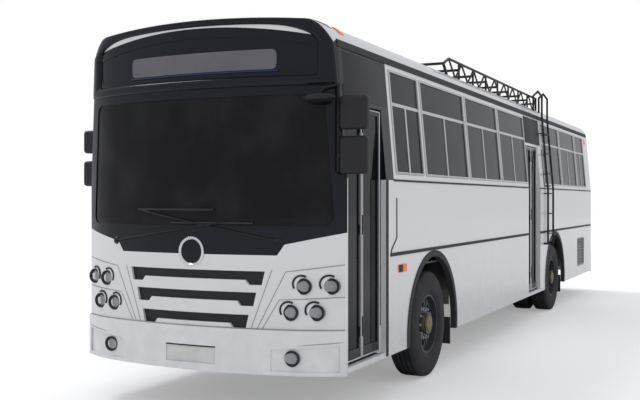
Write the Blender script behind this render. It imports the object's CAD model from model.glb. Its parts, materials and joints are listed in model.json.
import bpy
import json
from math import atan2, cos, pi, radians, sin, sqrt
from mathutils import Matrix


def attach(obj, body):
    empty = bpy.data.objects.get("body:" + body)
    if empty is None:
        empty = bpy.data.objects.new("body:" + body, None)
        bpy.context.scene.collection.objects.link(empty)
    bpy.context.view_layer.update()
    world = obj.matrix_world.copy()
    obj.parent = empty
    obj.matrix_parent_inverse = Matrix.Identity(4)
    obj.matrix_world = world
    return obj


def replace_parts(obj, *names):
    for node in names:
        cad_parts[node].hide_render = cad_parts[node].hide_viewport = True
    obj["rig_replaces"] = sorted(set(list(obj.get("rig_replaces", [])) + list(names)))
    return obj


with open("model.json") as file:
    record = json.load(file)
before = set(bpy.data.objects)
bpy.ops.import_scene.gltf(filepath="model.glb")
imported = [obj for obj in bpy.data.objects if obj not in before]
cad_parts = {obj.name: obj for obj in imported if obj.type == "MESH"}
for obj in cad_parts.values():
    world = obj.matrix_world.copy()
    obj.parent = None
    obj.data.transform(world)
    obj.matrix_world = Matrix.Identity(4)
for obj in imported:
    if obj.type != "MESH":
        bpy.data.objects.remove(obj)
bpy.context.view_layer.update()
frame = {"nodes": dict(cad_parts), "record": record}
nodes = frame["nodes"]
slot_of = {entry["node"]: entry["material_slot"] for entry in frame["record"]["subparts"]}

# The vehicle's driving sizes, in metres, as in the CAD source
half_width = 1.250
front_x = 5.925
bow_radius = 3.6
bow_half = 0.85
belt_z = 1.905
gutter_y = 1.158
gutter_z = 2.960
front_axle_x = 3.550
rear_axle_x = -2.450
tyre_radius = 0.515
tyre_width = 0.280
tyre_outer_y = 1.220
twin_gap = 0.046
door_outer_y = 1.190
front_door_x = (4.826, 5.632)
rear_door_x = (-1.350, -0.600)
door_z = (0.440, 2.490)
glass_z = (1.960, 2.890)
lamp_spots = ((0.950, 1.063), (1.150, 1.065), (0.850, 0.858), (1.045, 0.860))
lamp_radius = 0.060
fog_spot = (0.870, 0.505)
left = 1
right = -1


# Shader maths as plain expressions
class Value:
    """A node socket that takes part in sums and products."""

    def __init__(self, kit, socket):
        self.kit = kit
        self.socket = socket

    def combined(self, operation, first, second):
        return self.kit.node("ShaderNodeMath", {"operation": operation}, {0: first, 1: second})

    def __add__(self, other):
        return self.combined("ADD", self, other)

    def __radd__(self, other):
        return self.combined("ADD", other, self)

    def __rsub__(self, other):
        return self.combined("SUBTRACT", other, self)

    def __mul__(self, other):
        return self.combined("MULTIPLY", self, other)


class Finish:
    """One material: its Principled shader and the nodes that feed it."""

    def __init__(self, name, color, roughness, **constants):
        self.material = bpy.data.materials.new(name)
        self.material.use_nodes = True
        self.tree = self.material.node_tree
        self.shader = self.tree.nodes["Principled BSDF"]
        self.set("Base Color", (*color, 1))
        self.set("Roughness", roughness)
        for socket, value in constants.items():
            self.set(socket.replace("_", " "), value)
        self.place = self.node("ShaderNodeTexCoord", {}, {}, "Object")

    def set(self, socket, value):
        """Links or sets one of the shader's own sockets."""
        if isinstance(value, Value):
            self.tree.links.new(value.socket, self.shader.inputs[socket])
        else:
            self.shader.inputs[socket].default_value = value

    def node(self, kind, settings, inputs, output=0):
        """Adds one node with its settings, then fills its sockets with values or links."""
        made = self.tree.nodes.new(kind)
        for key, value in settings.items():
            if key == "stops":
                for stop, (position, shade) in zip(made.color_ramp.elements, value):
                    stop.position = position
                    stop.color = (shade, shade, shade, 1)
            else:
                setattr(made, key, value)
        for key, value in inputs.items():
            if isinstance(value, Value):
                self.tree.links.new(value.socket, made.inputs[key])
            else:
                made.inputs[key].default_value = value
        return Value(self, made.outputs[output])

    def noise(self, scale, detail=3.0, stretch=(1, 1, 1)):
        """Cloudy noise between 0 and 1 over the piece."""
        place = self.node("ShaderNodeMapping", {}, {"Vector": self.place, "Scale": stretch})
        return self.node("ShaderNodeTexNoise", {}, {"Vector": place, "Scale": scale, "Detail": detail})

    def ramp(self, value, low, high):
        """0 below low, 1 above high."""
        return self.node("ShaderNodeValToRGB", {"stops": ((low, 0.0), (high, 1.0))}, {"Fac": value})

    def height(self):
        """Height over the ground in metres."""
        return self.node("ShaderNodeSeparateXYZ", {}, {"Vector": self.place}, "Z")

    def blend(self, mask, first, second):
        """Mixes two colours by a mask."""
        return self.node(
            "ShaderNodeMix",
            {"data_type": "RGBA"},
            {0: mask, 6: first if isinstance(first, Value) else (*first, 1), 7: (*second, 1)},
            2,
        )

    def bump(self, height, strength, distance):
        """Feeds a height into the shader's normal."""
        sockets = {"Height": height, "Strength": strength, "Distance": distance}
        self.set("Normal", self.node("ShaderNodeBump", {}, sockets))

    def bands(self, direction, scale):
        """Even bands across one direction."""
        sockets = {"Vector": self.place, "Scale": scale}
        return self.node("ShaderNodeTexWave", {"bands_direction": direction}, sockets)


def painted(name, color, roughness, dust=0.25, coat=0.6, sheen=0.5):
    """Sprayed paint: faint orange peel, slow colour drift and road dust towards the skirt."""
    finish = Finish(name, color, roughness, Coat_Roughness=0.06, Specular_IOR_Level=sheen)
    drift = finish.noise(1.3, 4.0)
    low = 1 - finish.ramp(finish.height() * 0.5, 0.15, 0.65)
    grime = low * finish.ramp(finish.noise(7.0, 6.0), 0.35, 0.8) * dust
    shade = tuple(0.93 * c for c in color)
    body = finish.blend(drift * 0.6, color, shade)
    finish.set("Base Color", finish.blend(grime, body, (0.33, 0.31, 0.28)))
    finish.set("Roughness", roughness + grime * 0.4)
    finish.set("Coat Weight", coat - grime * 0.5)
    finish.bump(finish.noise(240.0, 2.0), 0.02, 0.001)
    return finish.material


def tinted_glass(name, color, alpha):
    """Dark tinted glass with a faint film of dust."""
    finish = Finish(name, color, 0.03, Alpha=alpha, Specular_IOR_Level=0.16)
    film = finish.ramp(finish.noise(2.2, 5.0), 0.45, 0.9)
    finish.set("Roughness", 0.03 + film * 0.06)
    finish.set("Base Color", finish.blend(film * 0.25, color, (0.09, 0.09, 0.09)))
    return finish.material


def metal(name, color, roughness, scale=60.0, stretch=(1, 1, 20), stain=0.3):
    """Drawn or cast metal with a streaked sheen."""
    finish = Finish(name, color, roughness, Metallic=0.9)
    streak = finish.noise(scale, 4.0, stretch)
    finish.set("Roughness", roughness + streak * 0.18)
    finish.set("Base Color", finish.blend(streak * stain, color, tuple(0.55 * c for c in color)))
    finish.bump(streak, 0.05, 0.0005)
    return finish.material


def moulded(name, color, roughness, grain=400.0, depth=0.12, sheen=0.3):
    """Moulded plastic or rubber with a fine grain."""
    finish = Finish(name, color, roughness, Specular_IOR_Level=sheen)
    fine = finish.noise(grain, 3.0)
    cloud = finish.noise(4.0, 4.0)
    finish.set("Base Color", finish.blend(cloud * 0.7, color, tuple(1.5 * c + 0.006 for c in color)))
    finish.set("Roughness", roughness + cloud * 0.15)
    finish.bump(fine, depth, 0.0008)
    return finish.material


def woven(name, color, other):
    """Woven seat cloth: crossing threads with a slow fleck."""
    finish = Finish(name, color, 0.9, Sheen_Weight=0.4, Sheen_Roughness=0.4)
    warp = finish.bands("Y", 130.0)
    weft = finish.bands("Z", 130.0)
    fleck = finish.ramp(finish.noise(30.0, 2.0), 0.48, 0.6)
    finish.set("Base Color", finish.blend(fleck * 0.7, color, other))
    finish.bump(warp * weft, 0.35, 0.001)
    return finish.material


def tread_rubber():
    """Tyre rubber: grey bloom on the walls and road dust on the tread."""
    finish = Finish("tyre rubber", (0.022, 0.022, 0.025), 0.75)
    bloom = finish.ramp(finish.noise(6.0, 5.0), 0.4, 0.75)
    finish.set("Base Color", finish.blend(bloom * 0.6, (0.018, 0.018, 0.021), (0.05, 0.048, 0.046)))
    finish.bump(finish.noise(150.0, 3.0), 0.2, 0.001)
    return finish.material


def lamp_lens(name, color, glow=0.0):
    """Ribbed lamp plastic."""
    finish = Finish(name, color, 0.12, Coat_Weight=0.25, Specular_IOR_Level=0.3)
    ribs = finish.bands("Z", 60.0)
    finish.bump(ribs, 0.3, 0.001)
    finish.set("Base Color", finish.blend(ribs * 0.4, color, tuple(0.6 * c for c in color)))
    finish.set("Emission Color", (*color, 1))
    finish.set("Emission Strength", glow)
    return finish.material


finishes = {
    "white_paint": painted("white paint", (0.86, 0.86, 0.875), 0.28),
    "black_paint": painted("black paint", (0.006, 0.007, 0.014), 0.14, dust=0.05, coat=0.16, sheen=0.20),
    "dark_glass": tinted_glass("tinted glass", (0.008, 0.008, 0.009), 0.965),
    "lamp_glass": moulded("lamp bucket", (0.30, 0.31, 0.33), 0.3),
    "bare_aluminium": metal("drawn aluminium", (0.72, 0.73, 0.75), 0.28),
    "chassis_black": painted("chassis paint", (0.022, 0.022, 0.024), 0.55, dust=0.9, coat=0.0),
    "floor_grey": moulded("ribbed floor", (0.10, 0.105, 0.115), 0.6),
    "spring_steel": metal("spring steel", (0.16, 0.15, 0.15), 0.5),
    "engine_grey": metal("cast engine", (0.20, 0.21, 0.22), 0.6, 25.0, (1, 1, 1)),
    "seat_fabric": woven("seat cloth", (0.05, 0.06, 0.13), (0.16, 0.17, 0.30)),
    "dark_plastic": moulded("dark plastic", (0.016, 0.016, 0.020), 0.42),
    "black_tube": moulded("black tube paint", (0.010, 0.010, 0.011), 0.35, 90.0),
    "sign_grey": moulded("sign panel", (0.125, 0.12, 0.135), 0.35),
    "marker_amber": lamp_lens("amber lens", (0.78, 0.14, 0.006), 0.25),
    "lamp_red": lamp_lens("red lens", (0.50, 0.012, 0.010)),
    "trim_rubber": moulded("trim rubber", (0.030, 0.030, 0.034), 0.55),
    "louvre_grey": painted("louvre paint", (0.36, 0.36, 0.38), 0.4, dust=0.5, coat=0.1),
    "tyre_rubber": tread_rubber(),
    "rim_grey": metal("rim paint", (0.15, 0.155, 0.175), 0.45, 18.0, (1, 1, 1), 0.6),
}
chrome = metal("chrome", (0.78, 0.79, 0.80), 0.08, 12.0, (1, 1, 1), 0.15)
lens_clear = lamp_lens("clear lens", (0.42, 0.43, 0.45))
seam_dark = moulded("panel seam", (0.30, 0.30, 0.31), 0.6)
hub_brown = metal("hub casting", (0.36, 0.28, 0.17), 0.45, 30.0, (1, 1, 1), 0.6)
filler_grey = painted("filler panel paint", (0.042, 0.042, 0.046), 0.45, dust=0.0, coat=0.0, sheen=0.15)
mirror_face = metal("mirror face", (0.80, 0.81, 0.82), 0.02, 3.0, (1, 1, 1), 0.02)
plate_white = painted("bare plate", (0.75, 0.75, 0.74), 0.4, dust=0.3, coat=0.0)

# CAD nodes: their own finish, welded and split at sharp edges so that curved walls read smooth
for name, piece in nodes.items():
    for place in piece.material_slots:
        place.material = finishes[slot_of[name]]
    weld = piece.modifiers.new("weld", "WELD")
    weld.merge_threshold = 0.00002
    split = piece.modifiers.new("sharp edges", "EDGE_SPLIT")
    split.split_angle = radians(24)
    for face in piece.data.polygons:
        face.use_smooth = True


# Modelling helpers
def free_hands():
    """Leaves nothing selected and returns to object mode."""
    if bpy.context.object and bpy.context.object.mode != "OBJECT":
        bpy.ops.object.mode_set(mode="OBJECT")
    bpy.ops.object.select_all(action="DESELECT")


def settle(piece, material, body="body", smooth=35):
    """Applies a finished piece's place and modifiers, and gives it its finish and its body."""
    free_hands()
    piece.select_set(True)
    bpy.context.view_layer.objects.active = piece
    for modifier in list(piece.modifiers):
        bpy.ops.object.modifier_apply(modifier=modifier.name)
    bpy.ops.object.transform_apply(location=True, rotation=True, scale=True)
    bpy.ops.object.shade_smooth_by_angle(angle=radians(smooth))
    piece.data.materials.clear()
    piece.data.materials.append(material)
    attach(piece, body)
    return piece


first_made = {}


def again(kind, name, place, body, make):
    """Makes a kind of piece once, then copies it, with its own mesh, to each further place."""
    if kind not in first_made:
        piece = make(name)
        first_made[kind] = (piece, place)
        return piece
    model, model_place = first_made[kind]
    piece = model.copy()
    piece.name = name
    piece.data = model.data.copy()
    piece.data.transform(place @ model_place.inverted())
    bpy.context.scene.collection.objects.link(piece)
    if "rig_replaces" in piece:
        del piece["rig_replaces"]
    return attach(piece, body)


def pillow_box(name, low, high, bevel=0.006, steps=2):
    """A box at its size and place with its edges rounded."""
    free_hands()
    middle = [(a + b) / 2 for a, b in zip(low, high)]
    bpy.ops.mesh.primitive_cube_add(size=1, location=middle, scale=[b - a for a, b in zip(low, high)])
    piece = bpy.context.object
    piece.name = name
    bpy.ops.object.transform_apply(location=True, rotation=True, scale=True)
    bpy.ops.object.mode_set(mode="EDIT")
    bpy.ops.mesh.select_all(action="SELECT")
    bpy.ops.mesh.bevel(offset=bevel, segments=steps, affect="EDGES")
    bpy.ops.object.mode_set(mode="OBJECT")
    return piece


def turned(name, centre, axis, stations, segments=48, capped=(True, True)):
    """A turned shape: a ring extruded and resized through (distance along axis, radius) stations."""
    free_hands()
    offset, radius = stations[0]
    fill = "NGON" if capped[0] else "NOTHING"
    centre_start = (0, 0, offset)
    bpy.ops.mesh.primitive_circle_add(vertices=segments, radius=radius, location=centre_start, fill_type=fill)
    piece = bpy.context.object
    piece.name = name
    bpy.ops.object.transform_apply(location=True, rotation=True, scale=True)
    bpy.ops.object.mode_set(mode="EDIT")
    bpy.ops.mesh.select_mode(type="EDGE")
    bpy.ops.mesh.select_all(action="SELECT")
    for next_offset, next_radius in stations[1:]:
        bpy.ops.mesh.extrude_edges_move(TRANSFORM_OT_translate={"value": (0, 0, next_offset - offset)})
        size = next_radius / radius
        bpy.ops.transform.resize(value=(size, size, 1), center_override=(0, 0, next_offset))
        offset, radius = next_offset, next_radius
    if capped[1]:
        bpy.ops.mesh.edge_face_add()
    bpy.ops.mesh.select_all(action="SELECT")
    bpy.ops.mesh.normals_make_consistent(inside=False)
    bpy.ops.object.mode_set(mode="OBJECT")
    tilt = atan2(sqrt(axis[0] ** 2 + axis[1] ** 2), axis[2])
    piece.rotation_euler = (0, tilt, atan2(axis[1], axis[0]))
    piece.location = centre
    return piece


def tube(name, points, radius, resolution=3):
    """A round bar or bead through points."""
    free_hands()
    route = bpy.data.curves.new(name, "CURVE")
    route.dimensions = "3D"
    route.bevel_depth = radius
    route.bevel_resolution = resolution
    route.use_fill_caps = True
    line = route.splines.new("POLY")
    line.points.add(len(points) - 1)
    for point, place in zip(line.points, points):
        point.co = (*place, 1)
    piece = bpy.data.objects.new(name, route)
    bpy.context.scene.collection.objects.link(piece)
    piece.select_set(True)
    bpy.context.view_layer.objects.active = piece
    bpy.ops.object.convert(target="MESH")
    return bpy.context.object


def front_at(y, proud=0.0):
    """X of the front face at a distance from the middle, or a little proud of it."""
    y = abs(y)
    middle_x = front_x - bow_radius
    if y <= bow_half:
        return middle_x + sqrt(bow_radius**2 - y**2) + proud
    bend_x = middle_x + sqrt(bow_radius**2 - bow_half**2)
    span = half_width - bow_half
    share = (y - bow_half) / span
    slope = bow_half / sqrt(bow_radius**2 - bow_half**2)
    fall = bend_x - (front_x - 0.280)
    return bend_x - slope * span * share - (fall - slope * span) * share**2.4 + proud


def side_y(z):
    """Y of the body side at a height."""
    return half_width - max(0, z - belt_z) * (half_width - gutter_y) / (gutter_z - belt_z)


def across_front(start, end, proud, steps=14):
    """Points along a straight line on the front face, from (y, z) to (y, z)."""
    return [
        (
            front_at(start[0] + (end[0] - start[0]) * n / steps, proud),
            start[0] + (end[0] - start[0]) * n / steps,
            start[1] + (end[1] - start[1]) * n / steps,
        )
        for n in range(steps + 1)
    ]


# Camera at the photograph's place
camera_data = bpy.data.cameras.new("camera")
camera_data.lens = 50.98
camera_data.sensor_width = 36
camera_data.clip_end = 200
camera = bpy.data.objects.new("camera", camera_data)
camera.location = (12.0643, 4.0959, 1.7327)
camera.rotation_euler = (radians(90), 0, radians(115.639))
bpy.context.scene.collection.objects.link(camera)
bpy.context.scene.camera = camera
bpy.context.scene.view_settings.view_transform = "Standard"


def studio():
    """Pale floor, white surroundings and soft light."""
    free_hands()
    bpy.ops.mesh.primitive_plane_add(size=160, location=(0, 0, -0.0005))
    floor = bpy.context.object
    floor.name = "studio_floor"
    finish = Finish("studio floor", (0.86, 0.86, 0.87), 0.9)
    finish.set("Specular IOR Level", 0.0)
    rays = finish.tree.nodes.new("ShaderNodeLightPath")
    finish.set("Emission Color", (1, 1, 1, 1))
    finish.set("Emission Strength", Value(finish, rays.outputs["Is Camera Ray"]) * 0.30)
    floor.data.materials.append(finish.material)
    world = bpy.data.worlds.new("studio")
    bpy.context.scene.world = world
    world.use_nodes = True
    tree = world.node_tree
    rays = tree.nodes.new("ShaderNodeLightPath")
    direct = tree.nodes["Background"]
    direct.inputs["Color"].default_value = (0.80, 0.81, 0.83, 1)
    direct.inputs["Strength"].default_value = 0.80
    seen = tree.nodes.new("ShaderNodeBackground")
    seen.inputs["Color"].default_value = (1, 1, 1, 1)
    seen.inputs["Strength"].default_value = 1.0
    seen_share = tree.nodes.new("ShaderNodeMixShader")
    tree.links.new(rays.outputs["Is Camera Ray"], seen_share.inputs[0])
    tree.links.new(direct.outputs[0], seen_share.inputs[1])
    tree.links.new(seen.outputs[0], seen_share.inputs[2])
    tree.links.new(seen_share.outputs[0], tree.nodes["World Output"].inputs["Surface"])
    bpy.ops.object.light_add(type="SUN", rotation=(radians(32), radians(-18), radians(20)))
    sun = bpy.context.object
    sun.data.energy = 0.9
    sun.data.angle = radians(20)


studio()


# Tyres, with tread grooves and rings on the walls
groove_spots = (0.075, 0.120, 0.165, 0.210)
groove_floor = 0.500
tread_top = 0.5145
shoulder = (0.040, 0.511)


def tyre_outline():
    """The tyre's closed section as (distance along the axle, radius), bead to bead."""
    wall = [(0.030, 0.289), (0.012, 0.310), (0.003, 0.345), (0.006, 0.352), (0.000, 0.385), (0.003, 0.425)]
    wall += [(0.012, 0.462), (0.020, 0.490), (0.032, 0.507)]
    tread = [shoulder]
    for groove in groove_spots:
        tread += [(groove - 0.006, tread_top), (groove - 0.004, groove_floor)]
        tread += [(groove + 0.006, groove_floor), (groove + 0.008, tread_top)]
    tread += [(tyre_width - shoulder[0], shoulder[1])]
    far_wall = [(tyre_width - y, r) for y, r in reversed(wall)]
    return wall + tread + far_wall + wall[:1]


def tyre(name, centre, side):
    """One tyre turned from its inner bead over the tread to its outer bead."""
    piece = turned(name, centre, (0, side, 0), tyre_outline(), segments=96, capped=(False, False))
    free_hands()
    piece.select_set(True)
    bpy.context.view_layer.objects.active = piece
    bpy.ops.object.mode_set(mode="EDIT")
    bpy.ops.mesh.select_all(action="SELECT")
    bpy.ops.mesh.remove_doubles(threshold=0.0001)
    bpy.ops.mesh.normals_make_consistent(inside=False)
    bpy.ops.object.mode_set(mode="OBJECT")
    return piece


def hung_tyre(name, axle_x, outer_y, side, body, node):
    """A tyre at its place on an axle, standing for the CAD tyre."""
    centre = (axle_x, side * (outer_y - tyre_width), tyre_radius)
    piece = again(
        ("tyre", side),
        name,
        Matrix.Translation(centre),
        body,
        lambda name: settle(tyre(name, centre, side), finishes["tyre_rubber"], body),
    )
    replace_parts(piece, node)


nut_count = 10
nut_ring = 0.140
nut_outline = [(0.0, 0.021), (0.006, 0.021), (0.007, 0.017), (0.024, 0.017), (0.026, 0.011), (0.040, 0.010)]
cap_y = 1.158
cap_outline = [(0.0, 0.106), (0.030, 0.106), (0.036, 0.098), (0.040, 0.075), (0.050, 0.070), (0.056, 0.045)]
cap_outline.append((0.058, 0.020))


def hung_turning(kind, name, centre, side, outline, segments, material, body):
    """A small turned part of a wheel, facing outward."""
    again(
        (kind, side),
        name,
        Matrix.Translation(centre),
        body,
        lambda name: settle(turned(name, centre, (0, side, 0), outline, segments), material, body),
    )


for hand, side in (("left", left), ("right", right)):
    front_body = "front_" + hand + "_wheel"
    rear_body = "rear_" + hand + "_wheels"
    twin_inner = tyre_outer_y - tyre_width - twin_gap
    hung_tyre("front_tyre_" + hand, front_axle_x, tyre_outer_y, side, front_body, "front_" + hand + "_tyre")
    for place, outer_y in (("outer", tyre_outer_y), ("inner", twin_inner)):
        name = "rear_tyre_" + hand + "_" + place
        hung_tyre(name, rear_axle_x, outer_y, side, rear_body, "rear_" + hand + "_tyres")
    wheels = (("front", front_axle_x, front_body, 1.136), ("rear", rear_axle_x, rear_body, 1.076))
    for place, x, body, face_y in wheels:
        for n in range(nut_count):
            angle = 2 * pi * n / nut_count
            spot = (x + nut_ring * cos(angle), side * face_y, tyre_radius + nut_ring * sin(angle))
            name = place + "_nut_" + hand + "_" + str(n)
            hung_turning("nut", name, spot, side, nut_outline, 6, chrome, body)
    for place, x, body, face_y in wheels:
        name = place + "_hub_cap_" + hand
        spot = (x, side * cap_y, tyre_radius)
        hung_turning("hub cap", name, spot, side, cap_outline, 48, hub_brown, body)


# Lamps on the nose: dark bezel, bright dish, small bulb, and a dark brow beside each head lamp
def lamp_outline(*steps):
    """Stations of a lamp's turned part, each as (distance forward, change from the lamp's radius)."""
    return [(forward, lamp_radius + change) for forward, change in steps]


bezel_steps = ((-0.012, -0.002), (0.008, 0.004), (0.012, -0.002), (0.004, -0.016), (-0.024, -0.020))
bezel_outline = lamp_outline(*bezel_steps)
dish_outline = lamp_outline((-0.004, -0.018), (-0.012, -0.024), (-0.022, -0.034), (-0.026, -0.046))
bulb_outline = [(0.0, 0.016), (0.010, 0.016), (0.018, 0.012), (0.022, 0.004)]
bulb_depth = 0.026


def round_lamp(name, x, y, z):
    """One round lamp facing forward in its bore: bezel, dish and bulb."""
    bulb_x = x - bulb_depth
    for part, part_x, outline, segments, capped, material in (
        ("bezel", x, bezel_outline, 48, (False, False), finishes["dark_plastic"]),
        ("dish", x, dish_outline, 48, (False, True), chrome),
        ("bulb", bulb_x, bulb_outline, 24, (True, True), lens_clear),
    ):
        centre = (part_x, y, z)

        def make(name):
            return settle(turned(name, centre, (1, 0, 0), outline, segments, capped), material)

        again(("lamp", part), name + "_" + part, Matrix.Translation(centre), "body", make)


brow_steps = 12


def lamp_brow(name, y, z, turn):
    """The dark scooped brow curving round one side of a lamp."""
    points = []
    for n in range(brow_steps + 1):
        angle = pi / 2 + turn * (n / brow_steps * 2.0 - 0.2)
        reach = lamp_radius + 0.016 + 0.016 * sin(pi * n / brow_steps)
        point_y = y + reach * cos(angle)
        points.append((front_at(point_y, 0.001), point_y, z + reach * sin(angle)))
    settle(tube(name, points, 0.008), finishes["dark_plastic"])


for hand, side in (("left", left), ("right", right)):
    for n, (y, z) in enumerate(lamp_spots):
        round_lamp("head_lamp_" + hand + "_" + str(n), front_at(y), side * y, z)
        lamp_brow("lamp_brow_" + hand + "_" + str(n), side * y, z, side)
    round_lamp("fog_lamp_" + hand, front_at(fog_spot[0]) + 0.022, side * fog_spot[0], fog_spot[1])


# Panel seams of the nose, as fine dark beads in the joints
def seam(name, points, proud=0.0, radius=0.0035):
    """A fine seam across the front face through (y, z) points."""
    route = []
    for start, end in zip(points, points[1:]):
        route += across_front(start, end, proud)
    settle(tube(name, route, radius, 1), seam_dark)


for hand, side in (("left", left), ("right", right)):
    seam("lamp_seam_upper_" + hand, [(side * 0.58, 0.722), (side * 0.81, 1.174), (side * 1.235, 1.230)])
    seam("lamp_seam_lower_" + hand, [(side * 0.62, 0.722), (side * 0.76, 0.955), (side * 1.235, 0.980)])
    seam("grille_seam_" + hand, [(side * 0.53, 0.722), (side * 0.70, 1.185)])
    seam("bumper_seam_" + hand, [(side * 0.36, 0.375), (side * 0.36, 0.575)], 0.0215)
    crease = [(0.0, 0.580), (side * 0.70, 0.588), (side * 1.235, 0.632)]
    seam("bumper_crease_" + hand, crease, 0.0205, 0.004)
seam("bumper_top_seam", [(-1.235, 0.722), (1.235, 0.722)], 0.004, 0.006)


def roof_height(y):
    """Height of the roof's outer face at a distance from the middle."""
    y = abs(y)
    if y <= 0.95:
        return 3.175 - 0.035 * (y / 0.95) ** 2
    return 3.140 - 0.180 * min(1, (y - 0.95) / 0.208) ** 2.4


def shell(name, columns, rows, place, material, wall):
    """A sheet whose grid of points is placed by a formula, given a wall and rounded."""
    free_hands()
    bpy.ops.mesh.primitive_grid_add(x_subdivisions=columns, y_subdivisions=rows, size=2)
    piece = bpy.context.object
    piece.name = name
    for vertex in piece.data.vertices:
        vertex.co = place((vertex.co.x + 1) / 2, (vertex.co.y + 1) / 2)
    bpy.ops.object.mode_set(mode="EDIT")
    bpy.ops.mesh.select_all(action="SELECT")
    bpy.ops.mesh.remove_doubles(threshold=0.0001)
    bpy.ops.mesh.normals_make_consistent(inside=False)
    bpy.ops.object.mode_set(mode="OBJECT")
    thick = piece.modifiers.new("wall", "SOLIDIFY")
    thick.thickness = wall
    thick.offset = 0
    rounding = piece.modifiers.new("rounding", "SUBSURF")
    rounding.levels = 1
    rounding.render_levels = 1
    return settle(piece, material)


# Header mask: a moulded frame round a recessed panel, carried over the roof's front edge
mask_low = 2.622
mask_back_x = 5.560
recess_low = 2.705
recess_half = 1.045
recess_shoulder = 2.960
mask_rows = ((0.0, 0.004), (0.12, 0.022), (0.45, 0.026), (0.75, 0.022), (0.90, 0.006), (1.0, -0.010))


def mask_edge(s, inner):
    """Outer or inner outline of the mask frame as (y, z), once round for s from 0 to 1."""
    low = recess_low if inner else mask_low
    half = recess_half if inner else side_y(mask_low)
    shoulder = recess_shoulder if inner else gutter_z
    top_half = recess_half if inner else gutter_y
    if s < 0.25:
        return (-half + 2 * half * s / 0.25, low)
    if s < 0.35:
        share = (s - 0.25) / 0.10
        return (half + (top_half - half) * share, low + (shoulder - low) * share)
    if s > 0.90:
        share = (1 - s) / 0.10
        return (-half - (top_half - half) * share, low + (shoulder - low) * share)
    share = 1 - 2 * (s - 0.35) / 0.55
    y = top_half * sin(share * pi / 2) if not inner else top_half * share
    top = roof_height(y)
    return (y, top - 0.055 - 0.09 * abs(share) ** 8 if inner else top)


def mask_frame(s, t):
    """A point of the mask frame: t runs from the roof over the rounded border into the recess."""
    step = t * len(mask_rows)
    outer = mask_edge(s, False)
    on_top = s > 0.25
    if step < 0.5:
        back_x = mask_back_x if on_top else front_at(outer[0])
        aside = 0.003 if outer[0] > 0 else -0.003
        return (back_x, outer[0] + aside, outer[1] + (0.004 if on_top else 0.0))
    share, proud = mask_rows[min(len(mask_rows) - 1, round(step) - 1)]
    inner = mask_edge(s, True)
    y = outer[0] + (inner[0] - outer[0]) * share
    z = outer[1] + (inner[1] - outer[1]) * share + (0.004 if share == 0 and on_top else 0)
    return (front_at(y) + proud, y, z)


def mask_panel(s, t):
    """A point of the recessed panel behind the frame."""
    y = (recess_half + 0.02) * (2 * s - 1)
    low, high = recess_low - 0.02, mask_edge(0.35 + 0.55 * (1 - y / recess_half) / 2, True)[1] + 0.02
    return (front_at(y) - 0.008, y, low + (high - low) * t)


shell("header_mask_frame", 160, len(mask_rows), mask_frame, finishes["black_paint"], 0.004)
shell("header_mask_panel", 48, 4, mask_panel, finishes["black_paint"], 0.003)
sign_edge = across_front((-0.640, 2.742), (0.748, 2.742), 0.002, 24)
sign_blue = moulded("sign edge", (0.02, 0.03, 0.09), 0.35)
settle(tube("sign_lower_edge", sign_edge, 0.006, 2), sign_blue)


def sign_face(s, t):
    """A point of the sign's bare face."""
    y = -0.630 + 1.370 * s
    return (front_at(y), y, 2.750 + 0.165 * t)


shell("sign_face", 24, 2, sign_face, finishes["sign_grey"], 0.003)

# Bare chrome ring round a plain dark disc in the middle of the nose
ring_centre = (front_x, 0, 1.320)
ring_outline = [(-0.004, 0.120), (0.008, 0.120), (0.016, 0.112), (0.018, 0.106), (0.008, 0.096)]
ring_outline.append((-0.004, 0.094))
ring = turned("badge_ring", ring_centre, (1, 0, 0), ring_outline, capped=(False, False))
settle(ring, chrome)
disc_outline = [(-0.004, 0.096), (0.003, 0.096), (0.006, 0.070), (0.007, 0.010)]
disc = turned("badge_disc", ring_centre, (1, 0, 0), disc_outline)
settle(disc, finishes["black_paint"])

# Bare number plate
plate = pillow_box("front_plate", (front_x, -0.235, 0.430), (front_x + 0.012, 0.235, 0.560), 0.003)
settle(plate, plate_white)


# Window frames: bright section round every side light
front_posts = (4.609, 3.797, 2.296, 0.877, -0.587)
rear_posts = (-1.630, -3.040, -4.460, -5.390)
post_half = 0.030


def window_bays():
    """Every CAD window bay of one side as (rear, front) edges, in metres."""
    return [
        (back + post_half, front - post_half)
        for edges in (front_posts, rear_posts)
        for front, back in zip(edges, edges[1:])
    ]


def window_frame(name, bay, side):
    """A mitred aluminium frame standing round one window opening."""
    low_y, high_y = side_y(glass_z[0]), side_y(glass_z[1])
    bead = 0.012
    corners = [
        (bay[0] + bead, side * (low_y + 0.001), glass_z[0] + bead),
        (bay[1] - bead, side * (low_y + 0.001), glass_z[0] + bead),
        (bay[1] - bead, side * (high_y + 0.001), glass_z[1] - bead),
        (bay[0] + bead, side * (high_y + 0.001), glass_z[1] - bead),
    ]
    piece = tube(name, corners + corners[:2], bead, 1)
    settle(piece, finishes["bare_aluminium"])


for hand, side in (("left", left), ("right", right)):
    bays = window_bays()
    if side == right:
        bays += [(4.639, 5.525), (-1.600, -0.617)]
    for n, bay in enumerate(bays):
        window_frame("window_frame_" + hand + "_" + str(n), bay, side)


# Mirror heads: rounded housings with a framed glass facing back
def mirror_head(name, side, x, near_y, z_low, z_high):
    """One mirror housing and its glass."""
    far_y = 1.470
    low_y, high_y = sorted((side * near_y, side * far_y))
    housing = pillow_box(name, (x - 0.045, low_y, z_low), (x + 0.045, high_y, z_high), 0.030, 4)
    settle(housing, finishes["dark_plastic"])
    low_y, high_y = sorted((side * (near_y + 0.022), side * (far_y - 0.022)))
    low, high = (x - 0.049, low_y, z_low + 0.022), (x - 0.043, high_y, z_high - 0.022)
    glass = pillow_box(name + "_glass", low, high, 0.002)
    settle(glass, mirror_face)
    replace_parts(housing, "mirrors")


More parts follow.
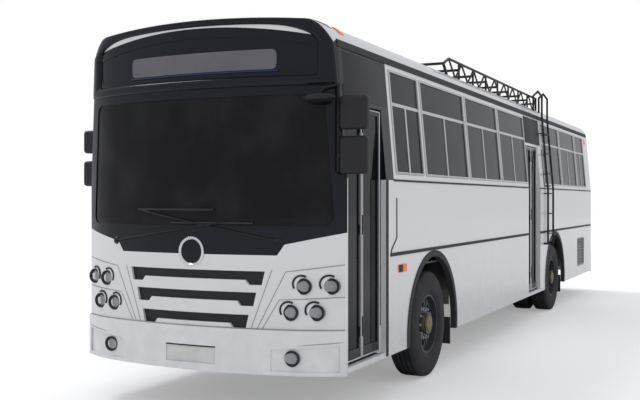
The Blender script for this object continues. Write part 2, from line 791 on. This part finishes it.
for hand, side, x, near_y, rod_y, heads in (
    ("left", left, 5.745, 1.240, 1.220, ((2.270, 2.530), (1.930, 2.220))),
    ("right", right, 5.460, 1.290, 1.310, ((2.160, 2.370), (1.860, 2.090))),
):
    for n, (z_low, z_high) in enumerate(heads):
        mirror_head("mirror_head_" + hand + "_" + str(n), side, x, near_y, z_low, z_high)
    rod_y *= side
    arm_low = heads[1][0] + 0.120
    root = (min(x, front_at(1.180) - 0.010), side * 1.160)
    arms = [
        [(*root, 2.620), (x, rod_y, 2.620), (x, rod_y, heads[1][0] + 0.020)],
        [(*root, arm_low), (x, rod_y, arm_low)],
    ]
    for z_low, z_high in heads:
        clasp_z = (z_low + z_high) / 2
        arms.append([(x, rod_y, clasp_z), (x, side * 1.350, clasp_z)])
    for n, points in enumerate(arms):
        settle(tube("mirror_arm_" + hand + "_" + str(n), points, 0.014), finishes["black_tube"])
dome_outline = [(0.0, 0.010), (0.004, 0.080), (0.016, 0.120), (0.030, 0.132), (0.042, 0.128), (0.056, 0.100)]
dome_outline += [(0.064, 0.050), (0.066, 0.015)]
dome = turned("kerb_mirror", (5.860, 1.110, 2.480), (0, 0, 1), dome_outline)
dome.scale = (0.65, 1, 1)
settle(dome, finishes["dark_plastic"])
stay = [(5.745, 1.220, 2.620), (5.820, 1.130, 2.590), (5.860, 1.110, 2.540)]
settle(tube("kerb_mirror_stay", stay, 0.009), finishes["black_tube"])


# Wipers: arm, pivot boss and blade
boss_outline = [(0.0, 0.034), (0.010, 0.034), (0.020, 0.022), (0.030, 0.018), (0.034, 0.008)]
for name, pivot, elbow, blade in (
    ("left", (0.740, 1.420), (-0.490, 1.645), ((-0.550, 1.655), (0.210, 1.655))),
    ("right", (-0.820, 1.390), (0.300, 1.556), ((-0.200, 1.550), (0.550, 1.550))),
):
    arm = tube("wiper_arm_" + name, across_front(pivot, elbow, 0.017, 8), 0.007)
    settle(arm, finishes["black_tube"])
    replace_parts(arm, "wipers")
    rubber = tube("wiper_blade_" + name, across_front(*blade, 0.010, 8), 0.008)
    settle(rubber, finishes["trim_rubber"])
    boss_centre = (front_at(pivot[0]) - 0.010, *pivot)
    boss = turned("wiper_boss_" + name, boss_centre, (1, 0, 0), boss_outline, 24)
    settle(boss, finishes["black_tube"])


# Door trim: bright edge sections on the leaves, riding with them
for door, door_x in (("front_door", front_door_x), ("rear_door", rear_door_x)):
    split = (door_x[0] + door_x[1]) / 2
    for leaf, x_low, x_high in (
        ("jamb", split + 0.006, door_x[1] - 0.012),
        ("fold", door_x[0] + 0.012, split - 0.006),
    ):
        edge = 0.008
        y = door_outer_y + 0.001
        corners = [
            (x_low + edge, y, door_z[0] + edge),
            (x_high - edge, y, door_z[0] + edge),
            (x_high - edge, y, door_z[1] - edge),
            (x_low + edge, y, door_z[1] - edge),
        ]
        trim = tube(door + "_" + leaf + "_edge", corners + corners[:2], edge, 1)
        settle(trim, finishes["bare_aluminium"], door + "_" + leaf)

# Filler panels over the doors, leaning with the body side
side_lean = atan2(half_width - gutter_y, gutter_z - belt_z)
for name, x_low, x_high in (("front", 4.670, 5.600), ("rear", -1.560, -0.600)):
    z_low, z_high = 2.540, 2.915
    panel = pillow_box(name + "_door_filler", (x_low, -0.003, 0.0), (x_high, 0.003, z_high - z_low), 0.002)
    panel.rotation_euler = (side_lean, 0, 0)
    panel.location = (0, side_y(z_low) + 0.001, z_low)
    settle(panel, filler_grey)

# Padded seats
seat_z = 1.510
seat_width = 0.405
seat_pitch = 0.790
first_row_x = 3.700
row_count = 11
cushion_box = ((0.005, -0.105), (0.430, -0.005))
back_box = ((-0.085, -0.080), (-0.005, 0.680))


def padded_box(name, low, high, bevel, cuts):
    """A closed cushion form whose faces swell between rounded edges."""
    piece = pillow_box(name, low, high, bevel, 2)
    bpy.ops.object.mode_set(mode="EDIT")
    bpy.ops.mesh.select_all(action="SELECT")
    bpy.ops.mesh.subdivide(number_cuts=cuts, smoothness=0.35)
    bpy.ops.object.mode_set(mode="OBJECT")
    return piece


def seat_part(name, x, y_low, box):
    """A seat's cushion or back, from its low and high (x, z) around the seat's corner."""
    low = (x + box[0][0], y_low, seat_z + box[0][1])
    high = (x + box[1][0], y_low + seat_width, seat_z + box[1][1])
    piece = padded_box(name, low, high, 0.022, 1)
    rounding = piece.modifiers.new("crown", "SUBSURF")
    rounding.levels = 1
    rounding.render_levels = 1
    return settle(piece, finishes["seat_fabric"], smooth=60)


def seat(name, x, y_low):
    """One padded seat: a cushion and an upright back."""
    for part, box in (("cushion", cushion_box), ("back", back_box)):
        place = Matrix.Translation((x, y_low, 0))
        whole = name + "_" + part
        piece = again(("seat", part), whole, place, "body", lambda name: seat_part(name, x, y_low, box))
        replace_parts(piece, "seats")


def seat_rows():
    """Every passenger row as (side, x of the seat), with none on the left by the rear door."""
    places = [first_row_x - seat_pitch * n for n in range(row_count)]
    rows = [(right, x) for x in places]
    for x in places:
        if not rear_door_x[0] - 0.100 < x + 0.220 < rear_door_x[1] + 0.100:
            rows.append((left, x))
    return rows


for n, (side, x) in enumerate(seat_rows()):
    for place, near in (("aisle", 0.335), ("window", 0.750)):
        y_low = near if side == left else -near - seat_width
        seat("seat_" + str(n) + "_" + place, x, y_low)

for part, low, high in (
    ("cushion", (4.705, -0.955, 1.425), (5.115, -0.505, 1.515)),
    ("back", (4.622, -0.955, 1.440), (4.698, -0.505, 2.135)),
):
    piece = padded_box("driver_" + part, low, high, 0.024, 2)
    settle(piece, finishes["seat_fabric"], smooth=60)
    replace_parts(piece, "driver_seat")
stand_outline = [(0.0, 0.088), (0.010, 0.088), (0.030, 0.050), (0.330, 0.045), (0.365, 0.085)]
stand = turned("driver_seat_stand", (4.910, -0.730, 1.052), (0, 0, 1), stand_outline)
settle(stand, finishes["chassis_black"])
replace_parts(stand, "driver_seat")

# Drop line beside the front door, down to the rub line, and side lamp, alike on both sides
for hand, side in (("left", left), ("right", right)):
    y = side * (half_width + 0.0005)
    route = [(4.575, y, 1.750), (4.575, y, 1.400), (4.700, y, 1.300), (4.722, y, 1.258)]
    settle(tube("drop_line_" + hand, route, 0.007, 1), finishes["trim_rubber"])
    low_y, high_y = sorted((side * 1.252, side * 1.262))
    lens = pillow_box("side_lamp_front_" + hand, (4.436, low_y, 1.092), (4.532, high_y, 1.158), 0.004)
    settle(lens, finishes["dark_plastic"])
lip = tube("plate_lip", across_front((-0.245, 0.566), (0.245, 0.566), 0.018, 8), 0.007)
settle(lip, finishes["trim_rubber"])
back_plate = pillow_box("ladder_back_plate", (-2.120, 0.0, 0.0), (-1.640, 0.006, 0.560), 0.002)
back_plate.rotation_euler = (side_lean, 0, 0)
back_plate.location = (0, side_y(1.930), 1.930)
settle(back_plate, finishes["black_paint"])

# Engine lid handle
handle_route = [(-5.934, -0.150), (-5.941, -0.150), (-5.941, 0.150), (-5.934, 0.150)]
handle = tube("lid_handle", [(x, y, 0.840) for x, y in handle_route], 0.008)
settle(handle, finishes["black_tube"], "engine_lid")

# Ribs between the hand holes of each outer rim
rib_count = 8


def placed_rib(name, place, body):
    """One rib, turned and moved from the wheel's middle to its place."""
    rib = pillow_box(name, (0.165, -0.008, -0.012), (0.252, 0.010, 0.012), 0.005)
    rib.matrix_world = place
    return settle(rib, finishes["rim_grey"], body)


for hand, side in (("left", left), ("right", right)):
    for wheel, x, body, disc_y in (
        ("front", front_axle_x, "front_" + hand + "_wheel", 1.137),
        ("rear", rear_axle_x, "rear_" + hand + "_wheels", 1.077),
    ):
        for n in range(rib_count):
            turn = Matrix.Rotation(-2 * pi * (n + 0.5) / rib_count, 4, "Y")
            place = Matrix.Translation((x, side * disc_y, tyre_radius)) @ turn
            name = wheel + "_rib_" + hand + "_" + str(n)
            again("rib", name, place, body, lambda name: placed_rib(name, place, body))
